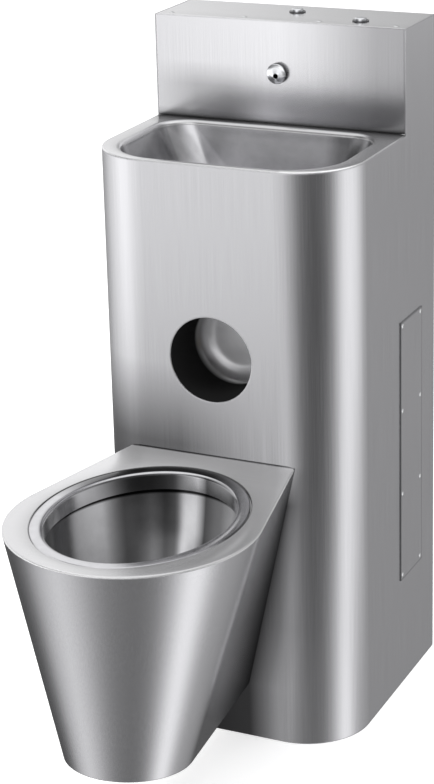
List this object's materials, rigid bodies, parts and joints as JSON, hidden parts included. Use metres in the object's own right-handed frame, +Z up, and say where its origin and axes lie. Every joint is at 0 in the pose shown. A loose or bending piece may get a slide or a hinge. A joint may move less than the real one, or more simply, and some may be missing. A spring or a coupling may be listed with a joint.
{
  "type": "toilet and basin combination unit",
  "caption": "Satin stainless wall unit: round-cornered column with basin and splashback on top, a hung tapered toilet pan in front and a recess for a roll",
  "frame": {"origin": "Middle of the corner line between wall and floor, under the unit's back edge.", "axes": "+X to the viewer's right, +Y into the wall, +Z up. The unit stands in front of the wall, at minus Y."},
  "size_m": [0.3926, 0.788, 1.0055],
  "materials": {
    "satin_steel": "satin-brushed stainless sheet",
    "plain_steel": "mill-finish stainless",
    "bright_steel": "bright stainless",
    "chrome": "polished chrome plating",
    "brass": "machined brass",
    "rubber": "moulded black rubber",
    "white_plastic": "moulded white",
    "dark_plastic": "moulded dark grey",
    "red_lever": "coated red",
    "blue_lever": "coated blue",
    "braided_hose": "braided sleeve"
  },
  "bodies": {
    "unit": {"body_shell": "satin_steel", "floor_bar": "plain_steel", "upper_wall_rail": "plain_steel", "lower_wall_rail": "plain_steel", "splashback": "satin_steel", "top_cover": "satin_steel", "cover_screws": "bright_steel", "basin_deck": "satin_steel", "basin_bowl": "satin_steel", "basin_strainer": "bright_steel", "waste_washer": "rubber", "waste_tail": "bright_steel", "waste_nut": "white_plastic", "bottle_trap": "white_plastic", "trap_cup": "white_plastic", "drain_pipe": "white_plastic", "roll_cup": "satin_steel", "pan_shell": "satin_steel", "pan_deck": "satin_steel", "rim_ring": "bright_steel", "pan_bowl": "satin_steel", "pan_trap": "plain_steel", "soil_outlet": "plain_steel", "soil_seal": "rubber", "pan_gussets": "plain_steel", "side_hatch": "satin_steel", "hatch_screws": "bright_steel", "hatch_frame": "plain_steel", "spout_head": "chrome", "spout_washer": "rubber", "spout_nut": "brass", "spout_feed": "brass", "tap_sleeve": "chrome", "tap_locknut": "brass", "tap_valve": "brass", "flush_sleeve": "chrome", "flush_locknut": "brass", "air_chamber": "dark_plastic", "air_tube": "dark_plastic", "flush_valve": "brass", "flush_valve_cover": "dark_plastic", "flush_pipe": "plain_steel", "flush_seal": "rubber", "flush_stop_valve": "brass", "tap_stop_valve": "brass", "tap_hose": "braided_hose"},
    "tap_push": {"tap_cap": "chrome", "tap_spring": "bright_steel"},
    "flush_push": {"flush_cap": "chrome", "flush_spring": "bright_steel"},
    "flush_stop_turn": {"flush_stop_lever": "red_lever"},
    "tap_stop_turn": {"tap_stop_lever": "blue_lever"}
  },
  "joints": [
    {"name": "tap_button_press", "type": "slide", "parent": "unit", "child": "tap_push", "axis": [0, 0, -1], "range_m": [0, 0.004], "stiffness_N_per_m": 250, "deforming": ["tap_spring"]},
    {"name": "flush_button_press", "type": "slide", "parent": "unit", "child": "flush_push", "axis": [0, 0, -1], "range_m": [0, 0.004], "stiffness_N_per_m": 250, "deforming": ["flush_spring"]},
    {"name": "flush_stop_lever_turn", "type": "hinge", "parent": "unit", "child": "flush_stop_turn", "pos_m": [0.1593, -0.062, 0.515], "axis": [1, 0, 0], "range_deg": [0, 90]},
    {"name": "tap_stop_lever_turn", "type": "hinge", "parent": "unit", "child": "tap_stop_turn", "pos_m": [0.08, -0.0703, 0.515], "axis": [0, -1, 0], "range_deg": [0, 90]}
  ]
}
